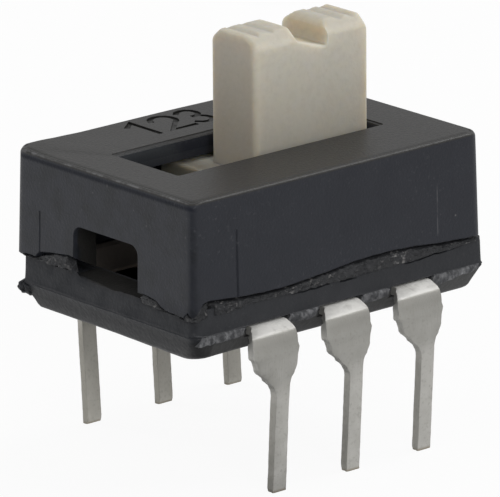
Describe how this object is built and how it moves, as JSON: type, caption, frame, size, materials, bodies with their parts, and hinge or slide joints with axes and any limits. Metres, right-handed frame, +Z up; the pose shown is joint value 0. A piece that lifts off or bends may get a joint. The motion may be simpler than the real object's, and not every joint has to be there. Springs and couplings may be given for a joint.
{
  "type": "slide switch",
  "caption": "Miniature through-hole slide switch: black moulded housing and base, tall ivory knob in a long slot, two rows of bent tinned terminals.",
  "frame": {"origin": "middle of the six terminal tips, on the plane the tips stand on", "axes": "+X along the slide towards the knob's position as modelled, +Y across the two terminal rows, +Z up towards the knob"},
  "size_m": [0.0103, 0.0084, 0.0113],
  "materials": {
    "housing_plastic": "fine moulded satin, near black",
    "base_plastic": "moulded, near black, rough at the parting line",
    "bead_plastic": "rough melted bead",
    "terminal_tin": "bright tin plate on copper alloy",
    "knob_nylon": "natural nylon, ivory grey, slightly translucent",
    "contact_metal": "sprung copper alloy",
    "spring_steel": "drawn wire",
    "ball_steel": "polished steel"
  },
  "bodies": {
    "body": {"housing": "housing_plastic", "base": "base_plastic", "seam_bead": "bead_plastic", "terminal_1": "terminal_tin", "terminal_2": "terminal_tin", "terminal_3": "terminal_tin", "terminal_4": "terminal_tin", "terminal_5": "terminal_tin", "terminal_6": "terminal_tin"},
    "slide": {"actuator": "knob_nylon", "moving_contact_1": "contact_metal", "moving_contact_2": "contact_metal", "detent_spring": "spring_steel", "detent_ball_1": "ball_steel", "detent_ball_2": "ball_steel"}
  },
  "joints": [
    {"name": "knob_slide", "type": "slide", "parent": "body", "child": "slide", "axis": [1, 0, 0], "range_m": [-0.0026, 0]}
  ]
}
